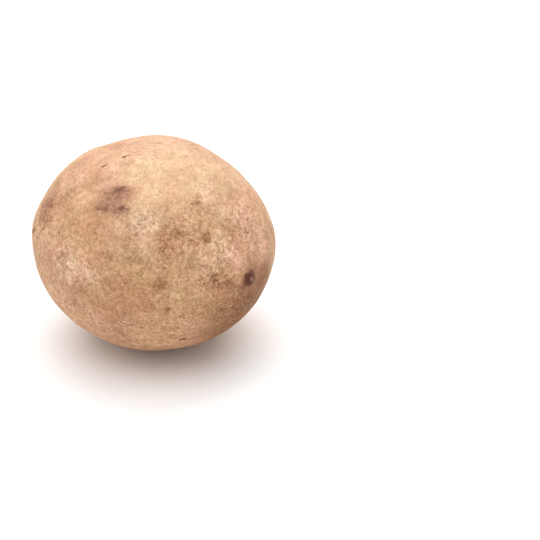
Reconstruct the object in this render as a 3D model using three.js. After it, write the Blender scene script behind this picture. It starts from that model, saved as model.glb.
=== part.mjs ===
// A whole sapodilla (Manilkara zapota) as picked: one solid berry lying on its side.
// Millimetres, +Z up. +X runs from the stem end to the blossom end, which carries the dry style tip.
// The origin is under the middle of the fruit, on the small flat spot that it rests on.
import * as THREE from "three";
import { mergeVertices } from "three/addons/utils/BufferGeometryUtils.js";

// The body's outer size, before the swells, the tip and the flat spot.
const LENGTH = 67.2;
const WIDTH = 62.6;
const HEIGHT = 56.4;
const FLAT_DEPTH = 0.5; // how much of the round underside the flat spot takes off

// Blossom end: a low rise under a small pointed tip, the dry remnant of the style.
const NOSE = { height: 0.7, spread: 22 };
const TIP = { height: 1.3, radius: 1.5 };

// Stem end: a shallow dimple round the woody scar that the stalk left, with a pit in its middle.
const DIMPLE = { depth: 1.4, radius: 8 };
const SCAR = { height: 0.9, radius: 3.2, edge: 0.7 };
const SCAR_PIT = { depth: 0.9, radius: 1.1 };

// Swells and hollows that keep the body from being a perfect ovoid.
// Each is [longitude from +X, latitude, height (hollows below 0), angular spread], in degrees and mm.
const SWELLS = [
  [108, 57, 0.45, 17], // crown of the upper side
  [80, 46, -0.45, 10], // hollow beyond the crown
  [165, 54, -0.75, 12], // hollow between the crown and the stem shoulder
  [-178, 50, 0.45, 8], // ridge of that hollow, towards the stem
  [60, 34, -0.35, 18], // flattened flank above the far shoulder
  [38, 4, 0.5, 13], // far shoulder of the blossom end
  [-42, -38, -0.3, 16], // flattened lower flank on the near side
  [-74, -58, 0.3, 10], // fullness under the belly
  [-128, -52, 0.1, 14], // fullness low on the near side
  [-151, 26, -0.15, 8], // slight hollow on the near stem shoulder
  [-140, 9, 0.5, 11], // near stem shoulder
  [-95, 5, 0.25, 22], // belly
  [120, -20, -0.3, 20], // far flank
  [10, 62, -0.25, 16], // top, towards the blossom end
  [178, -42, 0.35, 18], // under the stem shoulder
];

const SPLITS = 19; // the starting sphere has 20 * (SPLITS + 1)^2 triangles
const CROWDING = 0.45; // how far the triangles are drawn in towards the two ends, from 0 to 1

const radians = THREE.MathUtils.degToRad;

/** The unit vector at a longitude from +X and a latitude from the XY plane, in degrees. */
function directionAt(longitude, latitude) {
  const [around, up] = [radians(longitude), radians(latitude)];
  return new THREE.Vector3(Math.cos(up) * Math.cos(around), Math.cos(up) * Math.sin(around), Math.sin(up));
}

/** A bell that is 1 in the middle and has fallen to 1/e at the given radius. */
function bell(distance, radius) {
  return Math.exp(-((distance / radius) ** 2));
}

/** 1 inside the radius and 0 outside it, with a soft edge. */
function disc(distance, radius, edge) {
  return 1 - THREE.MathUtils.smoothstep(distance, radius - edge / 2, radius + edge / 2);
}

/** Moves a direction along its meridian, so that the points lie closer together near the ends. */
function crowdTowardsEnds(direction) {
  const fromTip = Math.acos(THREE.MathUtils.clamp(direction.x, -1, 1));
  const moved = fromTip - (CROWDING / 2) * Math.sin(2 * fromTip);
  const across = Math.hypot(direction.y, direction.z) || 1;
  const share = Math.sin(moved) / across;
  return new THREE.Vector3(Math.cos(moved), direction.y * share, direction.z * share);
}

/** How far the swells and hollows lift the skin in a direction. */
function swellAt(direction) {
  return SWELLS.reduce((sum, [longitude, latitude, height, spread]) => {
    const angle = direction.angleTo(directionAt(longitude, latitude));
    return sum + height * bell(angle, radians(spread));
  }, 0);
}

/** How far the nose and the tip stand out along +X, at a distance from the long axis. */
function blossomEndAt(direction, fromAxis) {
  const angle = Math.acos(THREE.MathUtils.clamp(direction.x, -1, 1));
  return NOSE.height * bell(angle, radians(NOSE.spread)) + TIP.height * bell(fromAxis, TIP.radius);
}

/** How far the stem end stands out along -X, at a distance from the long axis. */
function stemEndAt(fromAxis) {
  return (
    SCAR.height * disc(fromAxis, SCAR.radius, SCAR.edge) -
    SCAR_PIT.depth * bell(fromAxis, SCAR_PIT.radius) -
    DIMPLE.depth * bell(fromAxis, DIMPLE.radius)
  );
}

/** The point of the skin in a direction, about the middle of the body. */
function skinPoint(direction) {
  const halves = new THREE.Vector3(LENGTH / 2, WIDTH / 2, HEIGHT / 2);
  const point = direction.clone().multiply(halves);
  const outwards = direction.clone().divide(halves).normalize();
  point.addScaledVector(outwards, swellAt(direction));
  const fromAxis = Math.hypot(direction.y * halves.y, direction.z * halves.z);
  point.x += direction.x > 0 ? blossomEndAt(direction, fromAxis) : -stemEndAt(fromAxis);
  point.z = Math.max(point.z, FLAT_DEPTH - HEIGHT / 2);
  return point;
}

/** The fruit's closed skin, standing on z = 0 with its middle over the origin. */
function fruitGeometry() {
  const sphere = new THREE.IcosahedronGeometry(1, SPLITS);
  sphere.deleteAttribute("normal");
  sphere.deleteAttribute("uv");
  const geometry = mergeVertices(sphere, 1e-5);
  const position = geometry.getAttribute("position");
  for (let i = 0; i < position.count; i++) {
    const direction = new THREE.Vector3().fromBufferAttribute(position, i).normalize();
    position.setXYZ(i, ...skinPoint(crowdTowardsEnds(direction)));
  }
  geometry.computeBoundingBox();
  const { min, max } = geometry.boundingBox;
  geometry.translate(-(min.x + max.x) / 2, -(min.y + max.y) / 2, -min.z);
  geometry.computeVertexNormals();
  return geometry;
}

/** Dull tan skin. */
function skinMaterial() {
  return new THREE.MeshStandardMaterial({ color: 0xc99b76, roughness: 0.72, metalness: 0 });
}

const sapodilla = new THREE.Mesh(fruitGeometry(), skinMaterial());
sapodilla.name = "sapodilla";

const part = new THREE.Group();
part.add(sapodilla);

export default part;
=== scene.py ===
"""Looks of a whole sapodilla that lies on its side on a pale studio floor."""

import math

import bpy
import numpy as np
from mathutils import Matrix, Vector, noise
from mathutils.bvhtree import BVHTree


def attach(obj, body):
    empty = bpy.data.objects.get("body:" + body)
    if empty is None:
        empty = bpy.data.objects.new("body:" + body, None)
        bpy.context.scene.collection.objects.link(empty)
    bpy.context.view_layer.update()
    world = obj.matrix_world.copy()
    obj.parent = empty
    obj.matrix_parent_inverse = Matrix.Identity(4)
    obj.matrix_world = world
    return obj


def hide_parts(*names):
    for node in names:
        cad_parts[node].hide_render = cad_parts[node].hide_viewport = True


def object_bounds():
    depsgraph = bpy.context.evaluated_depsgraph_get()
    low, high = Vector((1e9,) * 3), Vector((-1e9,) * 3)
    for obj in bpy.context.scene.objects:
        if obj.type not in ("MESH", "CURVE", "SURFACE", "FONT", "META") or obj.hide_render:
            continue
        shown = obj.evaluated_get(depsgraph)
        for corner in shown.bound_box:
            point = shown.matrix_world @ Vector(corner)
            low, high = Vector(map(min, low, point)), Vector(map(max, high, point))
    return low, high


MM = 0.001
FRUIT_NODE = "sapodilla"

# Camera: a short tele lens, and where the fruit stands in the square picture, as shares of its width.
LENS_MM = 85
SENSOR_MM = 36
AZIMUTH_DEG = 40
ELEVATION_DEG = 28
DISTANCE = 345 * MM
LEFT_OF_MIDDLE = 0.2099
ABOVE_MIDDLE = 0.0501
CLIP_START = 0.01
CLIP_END = 20

# Studio: an even grey surround and round soft boxes.
# Each box is (name, bearing from the camera, height angle, width in metres, light).
SURROUND = 0.6
SOFT_BOX_DISTANCE = 1.5
SOFT_BOXES = [
    ("box_above", 0, 90, 2.4, 0.62),
    ("box_behind", 180, 45, 2.0, 0.36),
    ("box_left", -90, 35, 1.6, 0.10),
]
FLOOR_SIZE = 12
FLOOR_COLOR = (0.92, 0.92, 0.92)

# Fine mesh: quads along each edge of the starting cube, and how far they crowd towards the two ends.
GRID = 128
CROWDING = 0.3
SMOOTH_ROUNDS = 24
END_SMOOTH_ROUNDS = 4
END_ZONE = (0.955, 0.985)  # how far along the unit direction the smoothing fades out towards an end
SEARCH_REACH = 30 * MM

# Directions on the fruit are (longitude, latitude) in degrees about its middle: the blossom end is at
# longitude 0, the stem end at 180, the top at latitude 90, and the photographed side round longitude -60.
BLOSSOM_END = (0, 1)
STEM_END = (180, 0)

# Linear colours of the skin.
TAN = (0.545, 0.318, 0.182)
COLORS = {
    "golden": (0.715, 0.515, 0.320),
    "olive": (0.515, 0.315, 0.155),
    "rosy": (0.650, 0.380, 0.258),
    "cream": (0.700, 0.480, 0.330),
    "brown": (0.360, 0.172, 0.078),
    # This dark brown is a real colour of the skin, and under the blossom end it is also painted shade.
    "umber": (0.200, 0.078, 0.024),
    "mauve": (0.330, 0.160, 0.105),
    "bruise": (0.190, 0.080, 0.052),
}

# Blotches of each colour, painted in this order: (longitude, latitude, radius mm, strength).
BLOTCHES = {
    "golden": [
        (-45, 71, 6.5, 0.75), (-57, 64, 5.0, 0.75), (-5, 50, 5.0, 0.75), (-43, 54, 4.5, 0.65),
        (-100, 42, 3.0, 0.40), (-5, 75, 5.0, 0.45), (-11, 19, 4.0, 0.40), (-20, 62, 6.0, 0.45),
        (-78, 66, 5.0, 0.40), (-28, 48, 6.0, 0.45), (38, 45, 9.0, 0.45), (5, 38, 7.0, 0.40),
        (30, 65, 9.0, 0.50), (-55, 48, 5.0, 0.40), (-52, 26, 5.0, 0.30),
    ],
    "olive": [
        (-53, 8, 6.0, 0.60), (-33, -7, 7.5, 0.50), (-52, 22, 5.0, 0.40), (-97, 29, 4.5, 0.40),
        (-36, 14, 5.0, 0.50), (-45, -20, 6.0, 0.40), (-62, 14, 4.0, 0.40),
    ],
    "rosy": [
        (-127, 47, 6.0, 0.70), (-171, 77, 4.0, 0.70), (12, 26, 8.0, 0.70), (11, 12, 5.0, 0.80),
        (-51, 28, 2.5, 0.70), (-98, 58, 5.0, 0.70), (46, 49, 7.0, 0.40), (-131, 62, 5.0, 0.35),
        (-5, 14, 4.5, 0.60), (-76, -18, 6.0, 0.40), (-90, -8, 5.0, 0.40), (-110, 16, 5.0, 0.40),
        (140, 80, 9.0, 0.50), (-150, 60, 6.0, 0.60), (-88, 55, 4.0, 0.50), (30, 30, 7.0, 0.40),
    ],
    "cream": [
        (-92, 9, 5.6, 0.55), (-81, 8, 3.8, 0.45), (-54, 36, 3.0, 0.80), (-46, 37, 3.0, 0.60),
        (-18, 14, 4.0, 0.30), (4, 51, 3.0, 0.35), (-30, -14, 4.0, 0.30), (-66, 36, 3.0, 0.30),
        (140, 86, 9.0, 0.45), (80, 72, 8.0, 0.35), (-100, 78, 7.0, 0.35), (20, 66, 6.0, 0.20),
    ],
    "brown": [
        (-37, 27, 4.4, 0.45), (-18, 41, 2.4, 0.45), (-31, 40, 3.6, 0.35), (-18, 26, 2.0, 0.55),
        (-57, -2, 6.5, 0.60), (-44, 7, 2.6, 0.65), (-17, 6, 4.2, 0.45), (-10, -12, 8.0, 0.60),
        (-67, 5, 4.0, 0.45), (-104, 53, 3.2, 0.30), (-116, 36, 3.0, 0.35), (-87, 40, 2.4, 0.45),
        (-77, 33, 5.0, 0.35), (-124, 24, 5.0, 0.70), (-82, 25, 3.2, 0.35), (-83, 0, 3.6, 0.35),
        (-68, -27, 5.0, 0.35), (-2, 26, 3.0, 0.45), (-73, 17, 3.6, 0.35), (-105, 8, 2.2, 0.40),
        (2, -22, 9.0, 0.80), (8, -6, 6.0, 0.60), (-22, -20, 5.0, 0.35), (-133, 32, 4.0, 0.40),
        (-70, -7, 7.0, 0.50), (-86, -12, 6.0, 0.30), (-22, -10, 6.5, 0.60), (4, -16, 9.0, 0.60),
        (-13, -2, 5.0, 0.55),
    ],
    "umber": [
        # The first five of these, under the blossom end, are partly real brown and partly painted shade, as
        # if cast by a neighbouring fruit; the rest are real dark marks.
        (5, -22, 12.0, 0.90), (-4, -28, 10.0, 0.80), (0, -15, 9.0, 0.80), (12, -7, 6.5, 0.85),
        (-8, -15, 8.0, 0.60), (4, 5, 3.6, 0.45), (-41, -6, 1.4, 0.50), (-18, 26, 1.8, 0.40),
        (-44, 7, 2.0, 0.35), (-126, 27, 2.5, 0.50), (-12, 0, 3.0, 0.40), (-20, 5, 2.2, 0.35),
        (-131, 24, 2.5, 0.45),
    ],
    "mauve": [
        (-150, 58, 3.0, 0.35), (-140, 48, 3.0, 0.40), (-163, 69, 3.0, 0.35), (-76, 47, 4.4, 0.85),
        (-128, 28, 4.5, 0.45), (-70, 51, 3.0, 0.75), (-70, 43, 3.0, 0.70), (-171, 77, 2.0, 0.40),
    ],
    "bruise": [
        (-75, 53, 1.5, 0.75), (-70, 53, 1.0, 0.60), (-80, 50, 1.1, 0.40), (-67, 43, 1.3, 0.75),
        (-72, 41, 0.9, 0.55), (-78, 41, 1.1, 0.80), (-84, 41, 1.2, 0.60), (-63, 43, 0.9, 0.60),
        (-73, 50, 1.3, 0.55), (-4, -2, 1.8, 0.70),
    ],
}
# Blotches on the sides that the photograph doesn't show come from noise: (size mm, share of the skin).
FAR_SIDE = {
    "golden": (17, 0.42),
    "olive": (14, 0.42),
    "rosy": (16, 0.38),
    "cream": (9, 0.26),
    "brown": (8, 0.46),
}

# Parts where brown clumps and pale crumbs show most: (longitude, latitude, radius mm, strength).
CLUMPED = [
    (-17, 6, 6.5, 0.75), (-11, 19, 7.0, 0.55), (-2, 26, 7.5, 0.60), (-18, 41, 6.0, 0.75),
    (-31, 40, 5.0, 0.70), (4, 30, 8.0, 0.70), (-37, 27, 5.5, 0.70), (-24, 30, 8.0, 0.75),
    (-124, 24, 7.5, 0.90), (-92, 9, 6.0, 0.55), (-84, 5, 4.5, 0.50), (-5, -15, 8.0, 0.80),
    (-50, 36, 4.5, 0.70), (-75, 46, 6.0, 0.80), (8, 44, 6.0, 0.60), (-30, -12, 6.0, 0.50),
    (-60, -20, 8.0, 0.50), (-112, 44, 5.0, 0.70), (-70, -2, 6.0, 0.40),
]
CLUMPS_EVERYWHERE = 0.40
CLUMPS_ON_FAR_SIDE = 0.65

# Small marks: (longitude, latitude, length mm, width mm, slant from east to north, strength).
MARK_COLOR = (0.115, 0.045, 0.020)
MARKS = [
    (-105, 74, 2.9, 0.65, 71, 0.85),
    (-111, 62, 2.2, 0.60, 79, 0.75),
    (-102, 67, 0.6, 0.45, 20, 0.60),
    (-56, 19, 5.2, 1.70, 3, 0.28),
    (-56, 31, 1.6, 1.20, -33, 0.45),
    (-41, -6, 1.6, 1.30, 0, 0.45),
    (-32, -30, 2.2, 1.40, 10, 0.80),
    (-27, -29, 5.0, 0.80, 8, 0.40),
    (-75, 53, 4.2, 1.10, 40, 0.50),
    (-67, 43, 3.0, 0.90, 12, 0.50),
    (-80, 41, 2.8, 0.90, 12, 0.42),
    (-124, 30, 2.4, 0.60, 80, 0.45),
    (-118, 36, 1.8, 0.50, 60, 0.40),
    (-121, 20, 1.6, 0.50, 80, 0.40),
    (-130, 11, 2.4, 1.60, 90, 0.90),
    (-163, 40, 3.0, 0.70, -9, 0.55),
    (4, 27, 1.3, 0.70, 60, 0.45),
    (-18, 25, 1.3, 1.00, -50, 0.45),
    (-15, 43, 1.2, 0.90, 30, 0.45),
    (60, 20, 2.0, 0.60, 30, 0.55),
    (120, 40, 1.4, 1.00, 70, 0.55),
    (150, -15, 2.6, 0.50, -20, 0.50),
    (95, -10, 1.2, 1.00, 0, 0.60),
]

# Relief of the skin: (size of the waves mm, octaves, height mm).
WAVES = (9.0, 2, 0.11)
WRINKLES = (2.2, 3, 0.035)
# Dents: (longitude, latitude, radius mm, depth mm).
DENTS = [
    (-76, 47, 4.0, 0.22), (-75, 53, 1.5, 0.14), (-67, 43, 1.4, 0.14), (-78, 41, 1.4, 0.10),
    (-56, 19, 2.4, 0.08), (-37, 27, 3.5, 0.10), (-41, -6, 1.0, 0.12), (-32, -30, 0.9, 0.16),
    (-18, 26, 1.4, 0.10), (-44, 7, 1.8, 0.08), (60, 35, 3.5, 0.15), (120, 10, 4.0, 0.18),
    (150, 45, 2.5, 0.14), (95, -25, 3.0, 0.15), (-150, -10, 3.0, 0.14), (30, -5, 1.2, 0.12),
    (175, 60, 2.0, 0.10),
]
# Warts: (longitude, latitude, radius mm, height mm).
WARTS = [
    (-130, 11, 0.9, 0.60), (110, 30, 0.9, 0.22), (-175, 25, 0.8, 0.20), (45, -30, 0.9, 0.22),
]

# Blossom end: a crumpled, sunken collar round the dry stub of the style.
CRUMPLE_SIZE = 0.9 * MM
CRUMPLE_SPREAD = 2.4 * MM
CRUMPLE_HEIGHT = 0.10 * MM
COLLAR_RADIUS = 1.7 * MM
COLLAR_SPREAD = 0.5 * MM
COLLAR_DEPTH = 0.22 * MM
STUB_RADIUS = 0.55 * MM
STUB_HEIGHT = 0.35 * MM

# Stem end: a lumpy woody scar with a raised rim and cracks.
SCAR_RADIUS = 3.2 * MM
SCAR_RAGGEDNESS = 0.3
RIM_HEIGHT = 0.22 * MM
LUMP_SIZE = 1.1 * MM
LUMP_HEIGHT = 0.18 * MM
CRACKS_ROUND_SCAR = 9
CRACK_SHARPNESS = 6
CRACK_WANDER = 0.9
CRACK_DEPTH = 0.42 * MM

# Noise in the colours: (size mm, seed, detail, roughness).
COARSE_SHAKE = (4.5, 1, 4.0, 0.65)
FINE_SHAKE = (1.1, 20, 3.0, 0.6)
GROUND = (16, 3, 3.0, 0.6)
MOTTLE = (2.2, 2, 5.0, 0.75)
GRAIN = (0.62, 4, 2.0, 0.8)
CLOUDS = (5.0, 5, 3.0, 0.6)
CROWD = (9.0, 6, 2.0, 0.6)
HUE = (5.0, 23, 5.0, 0.62)
FIBRES = (0.9, 9, 4.0, 0.75)

# How far noise moves the place that is painted, in mm: (by the coarse shake, by the fine shake).
WANDERING = (6.0, 1.5)
RAGGED = (1.6, 2.2)
RAGGED_COLORS = ("umber", "mauve", "bruise")

GROUND_LEVELS = (0.94, 1.06)
BLOTCH_EDGE = (1.35, 0.35)  # a blotch starts and is full at these shares of its radius
BROKEN_SHARE = 0.45  # how much of a blotch the mottling breaks up
FAR_SIDE_SEED = 10
FAR_SIDE_STRENGTH = 0.7
SEEN_SIDE = (-55, 25)
FAR_SIDE_EDGE = (9.0, -6.0)  # mm from the middle of the fruit towards the seen side

# Clumps and crumbs: (noise, where it starts, where it is full, strength, colour).
CLUMPS = ((1.9, 21, 4.0, 0.75), 0.50, 0.66, 0.62, (0.30, 0.135, 0.060))
CRUMBS = ((1.2, 22, 3.0, 0.75), 0.54, 0.70, 0.42, (0.74, 0.52, 0.36))

# Contrast of the lighter and darker skin. Towards the top the contrast is painted lower, as painted light:
# the bright light from above washing it out.
MOTTLE_CONTRAST = 1.7
GRAIN_CONTRAST = 2.9
CLOUD_CONTRAST = 0.65
LEAST_CONTRAST = 0.25
CLUMPED_CONTRAST = 1.25
LIGHT_WASH_HEIGHTS = (36.0, 52.0)
LIGHT_WASH_SHARE = 0.45
DARKEST_TONE = 0.3
TONE_POWERS = (0.85, 1.07, 1.32)  # darker skin is redder
REDDER = (1.035, 0.965, 0.975)
YELLOWER = (0.990, 1.008, 0.970)

# Pores and flecks: (spacing mm, seed, radius mm, share of the cells that have one).
PORES = (1.0, 7, 0.22, 0.5)
FLECKS = (1.2, 8, 0.30, 0.4)
PORE_COLOR = (0.22, 0.095, 0.045)
PORE_STRENGTH = 0.55
FLECK_COLOR = (0.76, 0.56, 0.37)
FLECK_STRENGTH = 0.35

# Round spots at the ends: (outer radius mm, inner radius mm, strength, colour).
TIP_HALO = (4.6, 1.6, 0.6, (0.24, 0.10, 0.048))
TIP_COLLAR = (2.9, 1.5, 0.9, (0.085, 0.022, 0.012))
# The pale spot on the stub of the style is a painted highlight.
TIP_STUB_HIGHLIGHT = (0.75, 0.35, 0.6, (0.36, 0.22, 0.17))
SCAR_HALO = (6.5, 3.4, 0.55, (0.30, 0.145, 0.065))
SCAR_WOOD = (4.0, 3.2, 1.0)
SCAR_PIT = (1.4, 0.7, 0.8, (0.050, 0.017, 0.006))
WOOD_DARK = (0.160, 0.060, 0.020)
WOOD_LIGHT = (0.500, 0.285, 0.135)
RING_SPACING = 0.9
RING_CONTRAST = 0.22

# Surface: roughness from and by the mottling, and the relief that is too fine for the mesh.
ROUGHNESS = 0.52
ROUGHNESS_BY_MOTTLE = 0.3
SPECULAR = 0.2
BUMP_DISTANCE = 0.12 * MM
BUMP_STRENGTH = 0.8
BUMP_OF_MOTTLE = 1.6
BUMP_OF_GRAIN = 0.6
BUMP_OF_PORES = 0.5


def direction(longitude, latitude):
    """Unit vector of a direction on the fruit."""
    lon, lat = math.radians(longitude), math.radians(latitude)
    return Vector((math.cos(lon) * math.cos(lat), math.sin(lon) * math.cos(lat), math.sin(lat)))


def tangents(normal):
    """East and north on the skin, for an outward normal."""
    east = Vector((0, 0, 1)).cross(normal).normalized()
    return east, normal.cross(east)


def smooth_step(low, high, value):
    share = np.clip((value - low) / (high - low), 0, 1)
    return share * share * (3 - 2 * share)


# ---------------------------------------------------------------- camera, light, floor


def camera_axes():
    turn, tilt = math.radians(AZIMUTH_DEG), math.radians(ELEVATION_DEG)
    back = Vector((math.sin(turn) * math.cos(tilt), -math.cos(turn) * math.cos(tilt), math.sin(tilt)))
    right = Vector((math.cos(turn), math.sin(turn), 0))
    return right, back.cross(right), back


def make_camera(centre):
    """The camera looks at a point beside the fruit, so that the fruit stands left of the middle."""
    right, up, back = camera_axes()
    view_width = DISTANCE * SENSOR_MM / LENS_MM
    aim = centre + right * LEFT_OF_MIDDLE * view_width - up * ABOVE_MIDDLE * view_width
    data = bpy.data.cameras.new("camera")
    data.lens, data.sensor_width = LENS_MM, SENSOR_MM
    data.clip_start, data.clip_end = CLIP_START, CLIP_END
    camera = bpy.data.objects.new("camera", data)
    bpy.context.scene.collection.objects.link(camera)
    camera.location = aim + back * DISTANCE
    camera.rotation_mode = "QUATERNION"
    camera.rotation_quaternion = (-back).to_track_quat("-Z", "Y")
    bpy.context.scene.camera = camera


def make_soft_box(name, bearing, height_angle, width, light):
    """A round soft box aimed at the fruit. Its light is the radiance it would give a white card facing it."""
    turn = math.radians(AZIMUTH_DEG + bearing)
    tilt = math.radians(height_angle)
    towards = Vector((math.sin(turn) * math.cos(tilt), -math.cos(turn) * math.cos(tilt), math.sin(tilt)))
    radius = width / 2
    seen_share = radius**2 / (radius**2 + SOFT_BOX_DISTANCE**2)
    data = bpy.data.lights.new(name, "AREA")
    data.shape, data.size = "DISK", width
    data.energy = light / seen_share * math.pi * math.pi * radius**2
    box = bpy.data.objects.new(name, data)
    bpy.context.scene.collection.objects.link(box)
    box.location = towards * SOFT_BOX_DISTANCE
    box.rotation_mode = "QUATERNION"
    box.rotation_quaternion = (-towards).to_track_quat("-Z", "Y")
    box.visible_camera = False


def make_studio():
    world = bpy.data.worlds.new("studio")
    world.use_nodes = True
    world.node_tree.nodes["Background"].inputs["Color"].default_value = (1, 1, 1, 1)
    world.node_tree.nodes["Background"].inputs["Strength"].default_value = SURROUND
    bpy.context.scene.world = world
    bpy.context.scene.view_settings.view_transform = "Standard"
    for soft_box in SOFT_BOXES:
        make_soft_box(*soft_box)


def make_floor():
    half = FLOOR_SIZE / 2
    mesh = bpy.data.meshes.new("floor")
    corners = [(-half, -half, 0), (half, -half, 0), (half, half, 0), (-half, half, 0)]
    mesh.from_pydata(corners, [], [(0, 1, 2, 3)])
    floor = bpy.data.objects.new("floor", mesh)
    bpy.context.scene.collection.objects.link(floor)
    material = bpy.data.materials.new("floor")
    material.use_nodes = True
    shader = material.node_tree.nodes["Principled BSDF"]
    shader.inputs["Base Color"].default_value = (*FLOOR_COLOR, 1)
    shader.inputs["Roughness"].default_value = 1.0
    shader.inputs["Specular IOR Level"].default_value = 0.0
    mesh.materials.append(material)


# ---------------------------------------------------------------- fine mesh


def cube_sphere(grid):
    """Unit directions and quads of a cube whose faces are blown up to a sphere."""
    steps = np.tan(np.linspace(-math.pi / 4, math.pi / 4, grid + 1))
    across, along = np.meshgrid(steps, steps, indexing="ij")
    corners, quads = [], []
    for axis in range(3):
        for sign in (-1.0, 1.0):
            side = np.empty((grid + 1, grid + 1, 3))
            side[..., axis] = sign
            side[..., (axis + 1) % 3] = across * sign
            side[..., (axis + 2) % 3] = along
            index = np.arange((grid + 1) ** 2).reshape(grid + 1, grid + 1) + len(corners) * (grid + 1) ** 2
            square = [index[:-1, :-1], index[1:, :-1], index[1:, 1:], index[:-1, 1:]]
            quads.append(np.stack(square, -1).reshape(-1, 4))
            corners.append(side.reshape(-1, 3))
    points, quads = np.concatenate(corners), np.concatenate(quads)
    _, first, merged = np.unique(np.round(points, 9), axis=0, return_index=True, return_inverse=True)
    points = points[first]
    return points / np.linalg.norm(points, axis=1, keepdims=True), merged.reshape(-1)[quads]


def crowd_towards_ends(directions):
    """Turns directions towards the nearer end of the long axis, where the small details are."""
    from_axis = np.arccos(np.clip(directions[:, 0], -1, 1))
    turned = from_axis - CROWDING * np.sin(2 * from_axis) / 2
    rim = directions[:, 1:] / np.maximum(np.linalg.norm(directions[:, 1:], axis=1, keepdims=True), 1e-9)
    return np.column_stack([np.cos(turned), rim * np.sin(turned)[:, None]])


def project_on(node, directions, centre):
    """Where rays from the centre leave the CAD solid. A ray that misses takes the nearest point."""
    tree = BVHTree.FromPolygons([v.co for v in node.data.vertices], [p.vertices for p in node.data.polygons])
    points = []
    for ray in directions:
        hit = tree.ray_cast(centre, Vector(ray))[0]
        if hit is None:
            hit = tree.find_nearest(centre + Vector(ray) * SEARCH_REACH)[0]
        points.append(hit)
    return np.array(points)


def smooth(points, quads, rounds, free):
    """Moves each point half-way to the mean of its neighbours, as far as free (0 to 1) lets it."""
    ends = np.concatenate([quads[:, [0, 1]], quads[:, [1, 2]], quads[:, [2, 3]], quads[:, [3, 0]]])
    count = np.bincount(ends[:, 0], minlength=len(points))[:, None]
    for _ in range(rounds):
        total = [np.bincount(ends[:, 0], points[ends[:, 1], axis], len(points)) for axis in range(3)]
        points = points + 0.5 * free[:, None] * (np.stack(total, 1) / count - points)
    return points


def normals_of(points, quads):
    """Outward unit normal at each point."""
    face = np.cross(points[quads[:, 2]] - points[quads[:, 0]], points[quads[:, 3]] - points[quads[:, 1]])
    total = np.zeros_like(points)
    for corner in range(4):
        for axis in range(3):
            total[:, axis] += np.bincount(quads[:, corner], face[:, axis], len(points))
    return total / np.linalg.norm(total, axis=1, keepdims=True)


def bell(distance, spread):
    return np.exp(-((distance / spread) ** 2))


def fractal(points, size, octaves):
    """Sum of octaves of smooth noise at each point, about -1 to 1, with its largest waves of this size."""
    return np.array([noise.fractal(Vector(point / size), 0.7, 2.0, octaves) for point in points])


class Skin:
    """Points of the fine mesh, with ways to find a place on it and to push it in or out."""

    def __init__(self, points, quads, centre):
        self.points, self.quads, self.centre = points, quads, np.array(centre)
        rays = points - self.centre
        self.rays = rays / np.linalg.norm(rays, axis=1, keepdims=True)
        self.normals = normals_of(points, quads)

    def place(self, longitude, latitude):
        """The point of the skin in a direction, and the outward normal there."""
        index = np.argmax(self.rays @ np.array(direction(longitude, latitude)))
        return self.points[index], self.normals[index]

    def distance(self, longitude, latitude):
        return np.linalg.norm(self.points - self.place(longitude, latitude)[0], axis=1)

    def push(self, height):
        """Moves every point along its normal, but never below the surface that the fruit stands on."""
        self.points = self.points + self.normals * height[:, None]
        self.points[:, 2] = np.maximum(self.points[:, 2], 0)


def carve_body(skin):
    """Gentle waves, fine wrinkles, dents and warts all over."""
    height = np.zeros(len(skin.points))
    for size, octaves, depth in (WAVES, WRINKLES):
        height += depth * MM * fractal(skin.points, size * MM, octaves)
    for longitude, latitude, radius, depth in DENTS:
        height -= depth * MM * bell(skin.distance(longitude, latitude), radius * MM)
    for longitude, latitude, radius, rise in WARTS:
        height += rise * MM * bell(skin.distance(longitude, latitude), radius * MM)
    skin.push(height)


def carve_blossom_end(skin):
    """A short dry stub of the style, with a sunken crumpled collar round it."""
    reach = skin.distance(*BLOSSOM_END)
    crumple = fractal(skin.points, CRUMPLE_SIZE, 2) * bell(reach, CRUMPLE_SPREAD)
    collar = bell(reach - COLLAR_RADIUS, COLLAR_SPREAD)
    stub = 1 - smooth_step(0.6 * STUB_RADIUS, 1.3 * STUB_RADIUS, reach)
    skin.push(CRUMPLE_HEIGHT * crumple - COLLAR_DEPTH * collar + STUB_HEIGHT * stub)


def carve_stem_end(skin):
    """The woody scar where the fruit was picked: a ragged rim with cracks that run outwards from its pit."""
    middle, _ = skin.place(*STEM_END)
    offset = skin.points - middle
    reach = np.linalg.norm(offset, axis=1) * (1 + SCAR_RAGGEDNESS * fractal(skin.points, 2.0 * MM, 2))
    bearing = np.arctan2(offset[:, 2], offset[:, 1])
    woody = 1 - smooth_step(1.0 * SCAR_RADIUS, 1.5 * SCAR_RADIUS, reach)
    ring = woody * smooth_step(0.25 * SCAR_RADIUS, 0.5 * SCAR_RADIUS, reach)
    wander = CRACK_WANDER * fractal(skin.points, 2.5 * MM, 2)
    cracks = np.maximum(np.cos(CRACKS_ROUND_SCAR * bearing + 2 * math.pi * wander), 0) ** CRACK_SHARPNESS
    lumps = fractal(skin.points, LUMP_SIZE, 3)
    rim = bell(reach - 0.95 * SCAR_RADIUS, 0.22 * SCAR_RADIUS)
    skin.push(LUMP_HEIGHT * lumps * woody - CRACK_DEPTH * cracks * ring + RIM_HEIGHT * rim)


def make_skin(node, centre):
    directions, quads = cube_sphere(GRID)
    directions = crowd_towards_ends(directions)
    points = project_on(node, directions, centre)
    end_share = smooth_step(*END_ZONE, np.abs(directions[:, 0]))
    points = smooth(points, quads, END_SMOOTH_ROUNDS, np.ones(len(points)))
    points = smooth(points, quads, SMOOTH_ROUNDS - END_SMOOTH_ROUNDS, 1 - end_share)
    skin = Skin(points, quads, centre)
    carve_body(skin)
    carve_blossom_end(skin)
    carve_stem_end(skin)
    return skin


# ---------------------------------------------------------------- material


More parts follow.
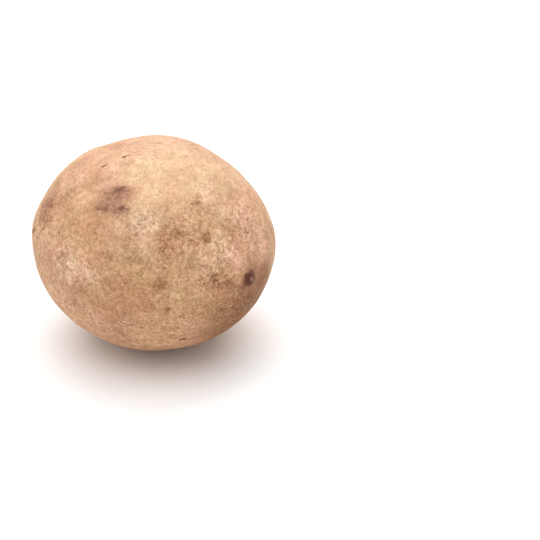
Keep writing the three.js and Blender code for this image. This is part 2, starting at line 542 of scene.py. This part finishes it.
class Painter:
    """Short ways to add shader nodes. Places and sizes are in millimetres on the fruit."""

    def __init__(self, name):
        self.material = bpy.data.materials.new(name)
        self.material.use_nodes = True
        self.tree = self.material.node_tree
        self.shader = self.tree.nodes["Principled BSDF"]
        coordinates = self.tree.nodes.new("ShaderNodeTexCoord")
        self.place = self.vector_math("SCALE", coordinates.outputs["Object"], scale=1 / MM)

    def feed(self, socket, value):
        """Sets a socket to a number or colour, or links it to another node's output."""
        if isinstance(value, bpy.types.NodeSocket):
            self.tree.links.new(value, socket)
        elif isinstance(value, tuple) and len(socket.default_value) > len(value):
            socket.default_value = (*value, 1)
        else:
            socket.default_value = value

    def math(self, operation, first, second=0.0, third=0.0):
        node = self.tree.nodes.new("ShaderNodeMath")
        node.operation = operation
        for socket, value in zip(node.inputs, (first, second, third)):
            self.feed(socket, value)
        return node.outputs[0]

    def vector_math(self, operation, first, second=(0, 0, 0), scale=1.0):
        node = self.tree.nodes.new("ShaderNodeVectorMath")
        node.operation = operation
        self.feed(node.inputs[0], first)
        if operation == "SCALE":
            self.feed(node.inputs["Scale"], scale)
        else:
            self.feed(node.inputs[1], second)
        return node.outputs["Value" if operation in ("DISTANCE", "LENGTH", "DOT_PRODUCT") else "Vector"]

    def step(self, value, low, high):
        """0 up to low, 1 from high, smooth between. High may be below low."""
        node = self.tree.nodes.new("ShaderNodeMapRange")
        node.interpolation_type = "SMOOTHSTEP"
        for name, item in (("Value", value), ("From Min", low), ("From Max", high)):
            self.feed(node.inputs[name], item)
        return node.outputs["Result"]

    def noise(self, size, seed, detail=2.0, roughness=0.6, place=None, output="Fac"):
        node = self.tree.nodes.new("ShaderNodeTexNoise")
        node.noise_dimensions = "4D"
        self.feed(node.inputs["Vector"], place or self.place)
        self.feed(node.inputs["W"], float(seed))
        self.feed(node.inputs["Scale"], 1 / size)
        self.feed(node.inputs["Detail"], detail)
        self.feed(node.inputs["Roughness"], roughness)
        return node.outputs[output]

    def dots(self, spacing, seed, radius, share, place=None):
        """Round dots in part of the cells of a random net."""
        node = self.tree.nodes.new("ShaderNodeTexVoronoi")
        node.voronoi_dimensions = "4D"
        self.feed(node.inputs["Vector"], place or self.place)
        self.feed(node.inputs["W"], float(seed))
        self.feed(node.inputs["Scale"], 1 / spacing)
        pick = self.tree.nodes.new("ShaderNodeSeparateColor")
        self.feed(pick.inputs[0], node.outputs["Color"])
        chosen = self.step(pick.outputs[0], 1 - share, 1 - share + 0.1)
        reach = radius / spacing
        return self.math("MULTIPLY", self.step(node.outputs["Distance"], 1.3 * reach, 0.5 * reach), chosen)

    def mix(self, share, under, over, blend="MIX"):
        node = self.tree.nodes.new("ShaderNodeMix")
        node.data_type, node.blend_type = "RGBA", blend
        self.feed(node.inputs["Factor"], share)
        self.feed(node.inputs[6], under)
        self.feed(node.inputs[7], over)
        return node.outputs[2]


def blotch_share(paint, skin, place, blotches):
    """Where the blotches of one colour lie, 0 to 1: the strongest of them at each point."""
    total = 0.0
    for longitude, latitude, radius, strength in blotches:
        middle = tuple(skin.place(longitude, latitude)[0] / MM)
        reach = paint.vector_math("DISTANCE", place, middle)
        share = paint.math("MULTIPLY", paint.step(reach, *(edge * radius for edge in BLOTCH_EDGE)), strength)
        total = paint.math("MAXIMUM", total, share)
    return total


def mark_share(paint, skin, place):
    """Where the small scratches and spots lie, 0 to 1."""
    total = 0.0
    for longitude, latitude, length, width, slant, strength in MARKS:
        middle, normal = skin.place(longitude, latitude)
        east, north = tangents(Vector(normal))
        turn = math.radians(slant)
        along = east * math.cos(turn) + north * math.sin(turn)
        across = Vector(normal).cross(along)
        offset = paint.vector_math("SUBTRACT", place, tuple(middle / MM))
        far_along = paint.vector_math("DOT_PRODUCT", offset, tuple(along * 2 / length))
        far_across = paint.vector_math("DOT_PRODUCT", offset, tuple(across * 2 / width))
        far_in = paint.vector_math("DOT_PRODUCT", offset, tuple(Vector(normal) / length))
        squares = paint.math("MULTIPLY_ADD", far_in, far_in, paint.math("MULTIPLY", far_along, far_along))
        squares = paint.math("MULTIPLY_ADD", far_across, far_across, squares)
        share = paint.math("MULTIPLY", paint.step(squares, 1.5, 0.25), strength)
        total = paint.math("MAXIMUM", total, share)
    return total


def far_side_share(paint, centre):
    """1 on the sides that the photograph doesn't show, 0 on the side that it shows."""
    offset = paint.vector_math("SUBTRACT", paint.place, tuple(centre / MM))
    towards_seen_side = paint.vector_math("DOT_PRODUCT", offset, tuple(direction(*SEEN_SIDE)))
    return paint.step(towards_seen_side, *FAR_SIDE_EDGE)


def shaken_places(paint):
    """The place on the skin moved to and fro: once for wandering outlines, once for ragged ones."""
    half = (0.5, 0.5, 0.5)
    coarse = paint.vector_math("SUBTRACT", paint.noise(*COARSE_SHAKE, output="Color"), half)
    fine = paint.vector_math("SUBTRACT", paint.noise(*FINE_SHAKE, output="Color"), half)
    places = []
    for coarse_reach, fine_reach in (WANDERING, RAGGED):
        place = paint.vector_math("ADD", paint.place, paint.vector_math("SCALE", coarse, scale=coarse_reach))
        places.append(paint.vector_math("ADD", place, paint.vector_math("SCALE", fine, scale=fine_reach)))
    return places


def clumped_share(paint, skin, place, crowd, far_side):
    """How strongly clumps, crumbs and grain show, 0 to 1."""
    share = paint.math("MAXIMUM", blotch_share(paint, skin, place, CLUMPED), CLUMPS_EVERYWHERE)
    far_share = paint.math("MULTIPLY", far_side, CLUMPS_ON_FAR_SIDE)
    return paint.math("MAXIMUM", share, paint.math("MULTIPLY", paint.step(crowd, 0.45, 0.6), far_share))


def paint_ground(paint):
    """The tan under everything, a little darker and lighter in broad areas."""
    dark, light = (tuple(part * level for part in TAN) for level in GROUND_LEVELS)
    return paint.mix(paint.step(paint.noise(*GROUND), 0.35, 0.65), dark, light)


def far_side_blotches(paint, number, name, far_side):
    """Where blotches of one colour lie on the sides that the photograph doesn't show."""
    size, wanted = FAR_SIDE[name]
    cloud = paint.noise(size, FAR_SIDE_SEED + number, 3.0, 0.6)
    cloud = paint.step(cloud, 0.62 - 0.2 * wanted, 0.74 - 0.2 * wanted)
    return paint.math("MULTIPLY", paint.math("MULTIPLY", cloud, far_side), FAR_SIDE_STRENGTH)


def paint_blotches(paint, skin, color, mottle, wandering, ragged, far_side):
    """Blotches of colour, partly broken up by the mottling."""
    for number, (name, blotches) in enumerate(BLOTCHES.items()):
        share = blotch_share(paint, skin, ragged if name in RAGGED_COLORS else wandering, blotches)
        if name in FAR_SIDE:
            share = paint.math("MAXIMUM", share, far_side_blotches(paint, number, name, far_side))
        broken = paint.math("MULTIPLY", share, paint.step(mottle, 0.25, 0.62))
        broken = paint.math("MULTIPLY", broken, BROKEN_SHARE)
        color = paint.mix(paint.math("MULTIPLY_ADD", share, 1 - BROKEN_SHARE, broken), color, COLORS[name])
    return color


def paint_clumps(paint, color, clumped):
    """Brown clumps and pale crumbs."""
    for wave, low, high, strength, tint in (CLUMPS, CRUMBS):
        share = paint.math("MULTIPLY", paint.step(paint.noise(*wave), low, high), clumped)
        color = paint.mix(paint.math("MULTIPLY", share, strength), color, tint)
    return color


def paint_tone(paint, color, mottle, grain, clumped):
    """Lighter and darker skin in every size, from clouds down to the grain."""
    above_floor = paint.vector_math("DOT_PRODUCT", paint.place, (0, 0, 1))
    # Painted light: the lighter and darker skin is painted fainter towards the top, as if washed out by the
    # bright light from above.
    light_wash = paint.math("MULTIPLY_ADD", paint.step(above_floor, *LIGHT_WASH_HEIGHTS), -LIGHT_WASH_SHARE, 1.0)
    contrast = paint.math("MULTIPLY_ADD", clumped, CLUMPED_CONTRAST, LEAST_CONTRAST)
    contrast = paint.math("MULTIPLY", contrast, light_wash)
    fine = paint.math("MULTIPLY", paint.math("SUBTRACT", mottle, 0.5), MOTTLE_CONTRAST)
    fine = paint.math("MULTIPLY_ADD", paint.math("SUBTRACT", grain, 0.5), GRAIN_CONTRAST, fine)
    clouds = paint.math("SUBTRACT", paint.noise(*CLOUDS), 0.5)
    tone = paint.math("MULTIPLY_ADD", fine, contrast, 1.0)
    tone = paint.math("MULTIPLY_ADD", clouds, CLOUD_CONTRAST, tone)
    tone = paint.math("MAXIMUM", tone, DARKEST_TONE)
    tint = paint.tree.nodes.new("ShaderNodeCombineColor")
    for socket, power in zip(tint.inputs, TONE_POWERS):
        paint.feed(socket, paint.math("POWER", tone, power))
    return paint.mix(1.0, color, tint.outputs[0], "MULTIPLY")


def paint_hue(paint, color):
    """Some patches a little redder, others a little yellower."""
    hue = paint.mix(paint.step(paint.noise(*HUE), 0.38, 0.62), REDDER, YELLOWER)
    return paint.mix(1.0, color, hue, "MULTIPLY")


def paint_pores(paint, color, pores, place, crowd):
    """Dark pores, and pale flecks where the pores are few."""
    flecks = paint.math("MULTIPLY", paint.dots(*FLECKS, place), paint.step(crowd, 0.6, 0.35))
    color = paint.mix(paint.math("MULTIPLY", pores, PORE_STRENGTH), color, PORE_COLOR)
    return paint.mix(paint.math("MULTIPLY", flecks, FLECK_STRENGTH), color, FLECK_COLOR)


def paint_spot(paint, color, reach, outer, inner, strength, tint):
    """A round spot: nothing of it beyond the outer radius, all of it within the inner one."""
    return paint.mix(paint.math("MULTIPLY", paint.step(reach, outer, inner), strength), color, tint)


def paint_blossom_end(paint, skin, color, ragged):
    """A brown halo and a dark collar round the stub of the style, with a pale painted highlight on the stub.
    """
    tip = tuple(skin.place(*BLOSSOM_END)[0] / MM)
    ragged_reach = paint.vector_math("DISTANCE", ragged, tip)
    color = paint_spot(paint, color, ragged_reach, *TIP_HALO)
    color = paint_spot(paint, color, ragged_reach, *TIP_COLLAR)
    return paint_spot(paint, color, paint.vector_math("DISTANCE", paint.place, tip), *TIP_STUB_HIGHLIGHT)


def paint_stem_end(paint, color, scar_reach):
    """The woody scar: fibres and faint rings inside a brown halo, with a dark pit in the middle."""
    fibres = paint.step(paint.noise(*FIBRES), 0.36, 0.62)
    rings = paint.math("SINE", paint.math("MULTIPLY", scar_reach, 2 * math.pi / RING_SPACING))
    rings = paint.math("MULTIPLY_ADD", rings, RING_CONTRAST, 1 - RING_CONTRAST)
    wood = paint.mix(paint.math("MULTIPLY", fibres, rings), WOOD_DARK, WOOD_LIGHT)
    color = paint_spot(paint, color, scar_reach, *SCAR_HALO)
    color = paint_spot(paint, color, scar_reach, *SCAR_WOOD, wood)
    return paint_spot(paint, color, scar_reach, *SCAR_PIT)


def finish_surface(paint, color, mottle, grain, pores, scar_reach):
    """Dull skin and duller wood, with a fine relief of mottles, grain and pores."""
    shader = paint.shader
    paint.feed(shader.inputs["Base Color"], color)
    dull = paint.math("MULTIPLY_ADD", mottle, ROUGHNESS_BY_MOTTLE, ROUGHNESS)
    woody = paint.step(scar_reach, 5.0, 3.2)
    paint.feed(shader.inputs["Roughness"], paint.math("MAXIMUM", dull, woody))
    shader.inputs["Specular IOR Level"].default_value = SPECULAR
    height = paint.math("MULTIPLY", grain, BUMP_OF_GRAIN)
    height = paint.math("MULTIPLY_ADD", mottle, BUMP_OF_MOTTLE, height)
    height = paint.math("SUBTRACT", height, paint.math("MULTIPLY", pores, BUMP_OF_PORES))
    bump = paint.tree.nodes.new("ShaderNodeBump")
    bump.inputs["Distance"].default_value = BUMP_DISTANCE
    bump.inputs["Strength"].default_value = BUMP_STRENGTH
    paint.feed(bump.inputs["Height"], height)
    paint.feed(shader.inputs["Normal"], bump.outputs["Normal"])


def paint_skin(skin, centre):
    """The skin's material, painted from the broadest patches down to the smallest marks."""
    paint = Painter("sapodilla_skin")
    wandering, ragged = shaken_places(paint)
    far_side = far_side_share(paint, centre)
    mottle = paint.noise(*MOTTLE)
    grain = paint.noise(*GRAIN)
    crowd = paint.noise(*CROWD)
    clumped = clumped_share(paint, skin, wandering, crowd, far_side)
    pores = paint.math("MULTIPLY", paint.dots(*PORES, ragged), paint.step(crowd, 0.35, 0.6))
    scar_reach = paint.vector_math("DISTANCE", wandering, tuple(skin.place(*STEM_END)[0] / MM))

    color = paint_ground(paint)
    color = paint_blotches(paint, skin, color, mottle, wandering, ragged, far_side)
    color = paint_clumps(paint, color, clumped)
    color = paint_tone(paint, color, mottle, grain, clumped)
    color = paint_hue(paint, color)
    color = paint_pores(paint, color, pores, ragged, crowd)
    color = paint.mix(mark_share(paint, skin, ragged), color, MARK_COLOR)
    color = paint_blossom_end(paint, skin, color, ragged)
    color = paint_stem_end(paint, color, scar_reach)
    finish_surface(paint, color, mottle, grain, pores, scar_reach)
    return paint.material


def make_fruit(node, centre):
    skin = make_skin(node, centre)
    mesh = bpy.data.meshes.new("fruit_skin")
    mesh.from_pydata(skin.points.tolist(), [], skin.quads.tolist())
    mesh.update()
    mesh.shade_smooth()
    mesh.materials.append(paint_skin(skin, centre))
    fruit = bpy.data.objects.new("fruit_skin", mesh)
    bpy.context.scene.collection.objects.link(fruit)
    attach(fruit, "root")
    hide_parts(FRUIT_NODE)


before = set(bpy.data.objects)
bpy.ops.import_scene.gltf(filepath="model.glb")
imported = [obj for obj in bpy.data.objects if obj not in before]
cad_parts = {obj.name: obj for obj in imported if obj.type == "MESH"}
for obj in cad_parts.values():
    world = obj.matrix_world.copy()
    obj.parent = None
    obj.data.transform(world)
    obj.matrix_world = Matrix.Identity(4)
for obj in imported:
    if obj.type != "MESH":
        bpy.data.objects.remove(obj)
cad_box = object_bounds()
centre = (cad_box[0] + cad_box[1]) / 2
make_camera(centre)
make_studio()
make_floor()
make_fruit(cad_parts[FRUIT_NODE], centre)
